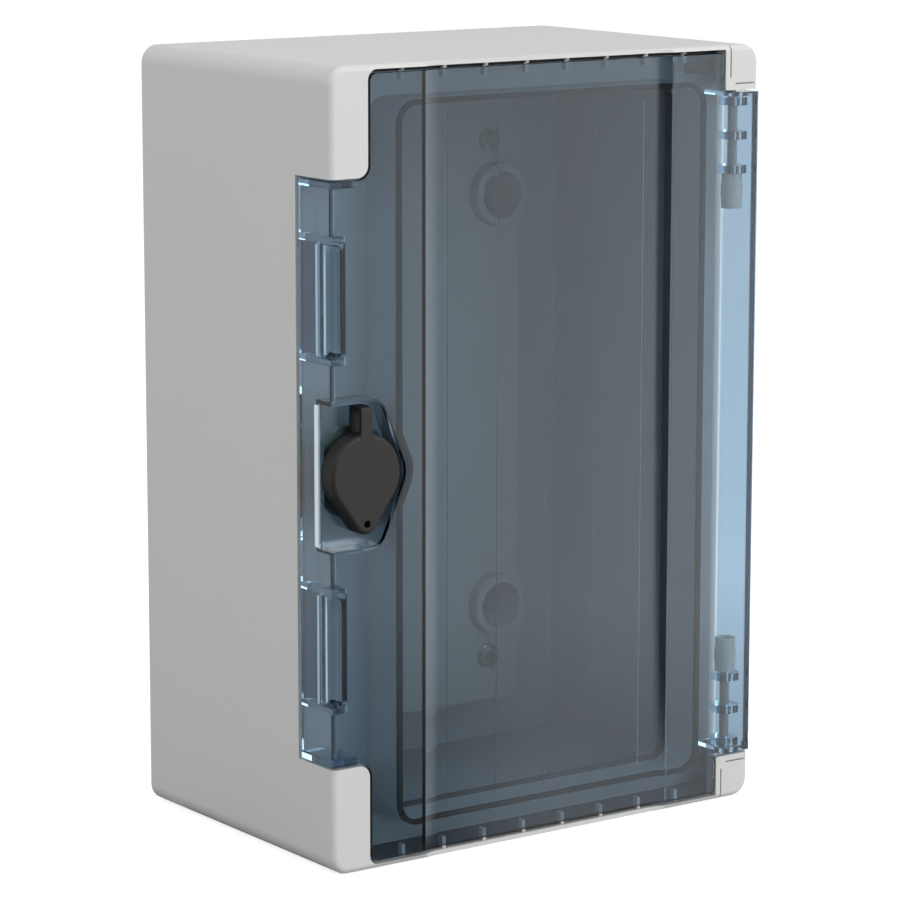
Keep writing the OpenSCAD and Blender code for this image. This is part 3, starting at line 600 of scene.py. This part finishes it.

# %% [markdown]
# ## The door's faces
# Light runs along the thin floors of the lock pocket and the finger grips, and comes out at their ends, in
# the door's left face. Behind the grips the flange gets less of it. At the door's top and bottom faces light
# leaves the wall and does not come back. Such effects could be left to the clear finish itself, but they
# need far more bounces than a render has, so these faces get painted light and painted shade instead.

# %% Lit ends of the floors
GRIP_OFFSET = 65 * MM
GRIP_END_HALF = 20.5 * MM
POCKET_END_HALF = 26.5 * MM
FLOOR_END_FRONT = -56.3 * MM
POCKET_END_BACK = -53.7 * MM
GRIP_END_BACK = -55.0 * MM

door_finishes = [clear_plastic, lit_edge, grip_light, grip_shaded_plastic, flange_shade, edge_shade]
floor_ends = [
    (POCKET_END_BACK, 0.0, POCKET_END_HALF, lit_edge),
    (GRIP_END_BACK, GRIP_OFFSET, GRIP_END_HALF, grip_light),
    (GRIP_END_BACK, -GRIP_OFFSET, GRIP_END_HALF, grip_light),
]


def lit_floor_ends(mesh):
    """Marks off the outer ends of the pocket's and the grips' floors in the door's left face, for painted
    light.
    """
    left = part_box("door_panel")[0].x
    for back, height, half, finish in floor_ends:
        low = middle_z + height - half
        high = middle_z + height + half
        cut_faces(mesh, Y, [FLOOR_END_FRONT, back], lambda face: lies_at(face, X, left))
        cut_faces(mesh, Z, [low, high], lambda face: lies_at(face, X, left))
        finish_faces(mesh, door_finishes, finish, lambda centre, normal: (
            normal.x < -FACING and near(centre.x, left) and FLOOR_END_FRONT < centre.y < back and
            low < centre.z < high))


# %% Shaded grips and ends
FLANGE_WALL = 2.5 * MM
GRIP_HALF_HEIGHT = 21 * MM


def shaded_grips(mesh):
    """Picks the flange's inner wall and its rear edge behind the finger grips, for painted shade."""
    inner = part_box("door_panel")[0].x + FLANGE_WALL
    for height in (-GRIP_OFFSET, GRIP_OFFSET):
        low = middle_z + height - GRIP_HALF_HEIGHT
        high = middle_z + height + GRIP_HALF_HEIGHT
        cut_faces(mesh, Z, [low, high], lambda face: lies_at(face, X, inner))
        cut_faces(mesh, Z, [low, high], lambda face: (
            face.normal.y > FACING and all(corner.co.x < inner + FACE_NEAR for corner in face.verts)))
        finish_faces(mesh, door_finishes, grip_shaded_plastic, lambda centre, normal: (
            normal.x > FACING and near(centre.x, inner) and low < centre.z < high))
        finish_faces(mesh, door_finishes, flange_shade, lambda centre, normal: (
            normal.y > FACING and centre.x < inner and low < centre.z < high))


def shaded_ends(mesh):
    """Picks the door's top and bottom faces for painted shade."""
    low_corner, high_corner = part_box("door_panel")
    finish_faces(mesh, door_finishes, edge_shade, lambda centre, normal: (
        (normal.z > FACING and near(centre.z, high_corner.z)) or
        (normal.z < -FACING and near(centre.z, low_corner.z))))


# %% Door
DOOR_ROUND = 0.30 * MM


def shape_door(mesh):
    lit_floor_ends(mesh)
    shaded_grips(mesh)
    shaded_ends(mesh)


rounded_piece("door_panel", door_finishes, "door", DOOR_ROUND, shape_door)

# %% [markdown]
# ## The hinge pins
# Two plain pins carry the door, and each can be pulled out by its knob. The shaft runs in the hinge's bores,
# and has a smoother, darker finish than the knob. It could be a piece of its own, but a pin is one moulding.

# %% Hinge pins
SHAFT_RADIUS = 2.0 * MM
PIN_ROUND = 0.40 * MM

pin_finishes = [pin_plastic, pin_shaft]


def dark_shaft(mesh):
    """Picks the shaft of a hinge pin. Both pins have the same axis."""
    axis = sum(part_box("hinge_pin_top"), Vector()) / 2
    finish_faces(mesh, pin_finishes, pin_shaft, lambda centre, normal: (
        math.hypot(centre.x - axis.x, centre.y - axis.y) < SHAFT_RADIUS and abs(normal.z) < ALONG))


rounded_piece("hinge_pin_top", pin_finishes, "top_pin", PIN_ROUND, dark_shaft)
rounded_piece("hinge_pin_bottom", pin_finishes, "bottom_pin", PIN_ROUND, dark_shaft)

# %% [markdown]
# ## The dust cover
# The dust cover is a soft rubber cap, and its front edge is much rounder than the edges of hard plastic. A
# bevel modifier has one width for all edges, so this edge is rounded first, in the mesh itself. The strap and
# the small hole in the tab keep their fine edges.

# %% Dust cover
COVER_RADIUS = 15.3 * MM
COVER_SOFT = 1.7 * MM
COVER_ROUND = 0.30 * MM
SOFT_SEGMENTS = 6
TAB_HOLE_DROP = 18.4 * MM
TAB_HOLE_CLEAR = 2.0 * MM
FRONT_NEAR = 0.01 * MM


def soft_front(mesh):
    """Rounds the front edge of the dust cover's cap much more than the rest."""
    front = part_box("lock_cover")[0].y
    middle = sum(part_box("lock_body"), Vector()) / 2
    hole = Vector((middle.x, front, middle.z - TAB_HOLE_DROP))
    shape = bmesh.new()
    shape.from_mesh(mesh)
    rim = []
    for edge in shape.edges:
        ends = [corner.co for corner in edge.verts]
        in_front = all(end.y < front + FRONT_NEAR for end in ends)
        on_cap = all(end.z < middle.z + COVER_RADIUS for end in ends)
        off_hole = all((end - hole).length > TAB_HOLE_CLEAR for end in ends)
        if in_front and on_cap and off_hole and edge.is_manifold and edge.calc_face_angle() > SHARP:
            rim.append(edge)
    bmesh.ops.bevel(shape, geom=rim, offset=COVER_SOFT, segments=SOFT_SEGMENTS, profile=0.5, affect="EDGES",
                    clamp_overlap=True)
    shape.to_mesh(mesh)
    shape.free()
    print("soft edges", len(rim))


rounded_piece("lock_cover", [cover_rubber], "dust_cover", COVER_ROUND, soft_front)

# %% [markdown]
# ## Lines, steps and strips
# Thin straight bars do several small jobs: faint upright lines on the inner face of the door's centre panel,
# a step with a painted highlight in each finger grip, and a dark strip of painted shade above the door. Each
# could be a cube of its own. One Geometry Nodes group places a bar at each step of a mesh line instead, so a
# row is five named values.

# %% The bar row group
VECTOR, INTEGER, MATERIAL = "NodeSocketVector", "NodeSocketInt", "NodeSocketMaterial"
ROW_INPUTS = {"Start": VECTOR, "Step": VECTOR, "Count": INTEGER, "Bar": VECTOR, "Material": MATERIAL}

row_group = bpy.data.node_groups.new("bar_row", "GeometryNodeTree")
for label, kind in ROW_INPUTS.items():
    row_group.interface.new_socket(name=label, in_out="INPUT", socket_type=kind)
row_group.interface.new_socket(name="Geometry", in_out="OUTPUT", socket_type="NodeSocketGeometry")
tree = row_group
given = new_node(tree, "NodeGroupInput").outputs
line = new_node(tree, "GeometryNodeMeshLine", {"Count": given["Count"], "Start Location": given["Start"],
                                               "Offset": given["Step"]})
bar = new_node(tree, "GeometryNodeMeshCube", {"Size": given["Bar"]})
bars = new_node(tree, "GeometryNodeInstanceOnPoints", {"Points": line.outputs[0], "Instance": bar.outputs[0]})
real = new_node(tree, "GeometryNodeRealizeInstances", {0: bars.outputs[0]})
painted = new_node(tree, "GeometryNodeSetMaterial", {0: real.outputs[0], "Material": given["Material"]})
new_node(tree, "NodeGroupOutput", {0: painted.outputs[0]})


def bar_row(name, material, **values):
    """A mesh object made by the bar row group."""
    piece = link_piece(name, bpy.data.meshes.new(name), material)
    rows = piece.modifiers.new("row", "NODES")
    rows.node_group = row_group
    names = {socket.name: socket.identifier for socket in row_group.interface.items_tree}
    for label, value in dict(values, Material=material).items():
        rows[names[label]] = value
    apply_modifiers(piece)
    print(name, len(piece.data.polygons), "faces")
    return piece


print("group", row_group.name, "with", len(row_group.nodes), "nodes")

# %% The door's upright lines
LINE_PITCH = 23 * MM
LINE_COUNT = 5
LINE_WIDTH = 0.30 * MM
LINE_DEPTH = 0.10 * MM
LINE_HALF_HEIGHT = 131 * MM
LINE_GAP = 0.10 * MM
PANEL_BACK = -60.5 * MM

line_y = PANEL_BACK + LINE_GAP
first_x = -LINE_PITCH * (LINE_COUNT - 1) / 2
line_bar = (LINE_WIDTH, LINE_DEPTH, 2 * LINE_HALF_HEIGHT)
dark_lines = bar_row("door_dark_lines", etched_line, Count=LINE_COUNT - 1, Start=(first_x, line_y, middle_z),
                     Step=(LINE_PITCH, 0, 0), Bar=line_bar)
pale_lines = bar_row("door_pale_line", pale_line, Count=1, Start=(-first_x, line_y, middle_z),
                     Step=(LINE_PITCH, 0, 0), Bar=line_bar)
for piece in (dark_lines, pale_lines):
    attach(piece, "door")

# %% The steps in the finger grips
# A low step runs along the floor of each finger grip, painted bright as a painted highlight.
STEP_WIDTH = 0.6 * MM
STEP_HEIGHT = 0.3 * MM
STEP_LENGTH = 40 * MM
STEP_INSET = 2.35 * MM
GRIP_FLOOR = -57.4 * MM

step_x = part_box("door_panel")[0].x + STEP_INSET
step_start = (step_x, GRIP_FLOOR - STEP_HEIGHT / 2, middle_z - GRIP_OFFSET)
grip_highlight_steps = bar_row("grip_highlight_steps", lit_edge, Count=2, Start=step_start, Step=(0, 0, 2 * GRIP_OFFSET),
                     Bar=(STEP_WIDTH, STEP_HEIGHT, STEP_LENGTH))
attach(grip_highlight_steps, "door")

# %% The shade strip above the door
# A thin dark strip hangs from the upper lip, just behind the door's top edge: painted shade that keeps the
# gap above the door dark.
STRIP_LEFT, STRIP_RIGHT = -79 * MM, 83 * MM
STRIP_Y = -59.7 * MM
STRIP_THICK = 0.5 * MM
STRIP_CLEAR = 0.15 * MM

strip_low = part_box("door_panel")[1].z + STRIP_CLEAR
strip_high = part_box("casing")[1].z - LIP_INNER + STRIP_CLEAR
strip_middle = ((STRIP_LEFT + STRIP_RIGHT) / 2, STRIP_Y, (strip_low + strip_high) / 2)
shade_strip = bar_row("shade_strip", edge_shade, Count=1, Start=strip_middle, Step=(0, 0, 0),
                     Bar=(STRIP_RIGHT - STRIP_LEFT, STRIP_THICK, strip_high - strip_low))
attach(shade_strip, "cabinet")

# %% [markdown]
# ## The washer round the lock nut
# A broad washer spreads the nut's pull over the pocket's floor. It shows through the clear floor behind the
# dust cover. It is a flat ring, cut off straight where the door's side wall and the keeper leave no room for
# it. A cylinder with a hole cut by a boolean would do, but four rings of corners, joined in turn, give clean
# faces, and the straight sides come from limiting each corner's place.

# %% Lock washer
WASHER_RADIUS = 17.5 * MM
WASHER_THICK = 0.9 * MM
WASHER_LEFT = 12.8 * MM
WASHER_RIGHT = 12.5 * MM
WASHER_STEPS = 96
WASHER_FIT = 0.05 * MM

nut_low, nut_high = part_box("lock_nut")
nut_middle = (nut_low + nut_high) / 2
hole_radius = (nut_high.x - nut_low.x) / 2 + WASHER_FIT
washer_front = nut_low.y - WASHER_FIT
washer = bmesh.new()


def washer_ring(y, radius):
    """A ring of corners round the nut's axis, kept between the washer's straight sides."""
    ring = []
    for step in range(WASHER_STEPS):
        angle = math.tau * step / WASHER_STEPS
        x = max(-WASHER_LEFT, min(WASHER_RIGHT, radius * math.cos(angle)))
        ring.append(washer.verts.new((nut_middle.x + x, y, nut_middle.z + radius * math.sin(angle))))
    return ring


front_outer = washer_ring(washer_front, WASHER_RADIUS)
front_inner = washer_ring(washer_front, hole_radius)
back_outer = washer_ring(washer_front + WASHER_THICK, WASHER_RADIUS)
back_inner = washer_ring(washer_front + WASHER_THICK, hole_radius)
rings = [front_outer, front_inner, back_inner, back_outer, front_outer]
for one, other in zip(rings, rings[1:]):
    for step in range(WASHER_STEPS):
        after = (step + 1) % WASHER_STEPS
        washer.faces.new((one[step], one[after], other[after], other[step]))
bmesh.ops.recalc_face_normals(washer, faces=washer.faces)
washer_mesh = bpy.data.meshes.new("lock_washer")
washer.to_mesh(washer_mesh)
washer.free()
lock_washer = link_piece("lock_washer", washer_mesh, nut_zinc)
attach(lock_washer, "door")
print("lock washer", len(washer_mesh.polygons), "faces")
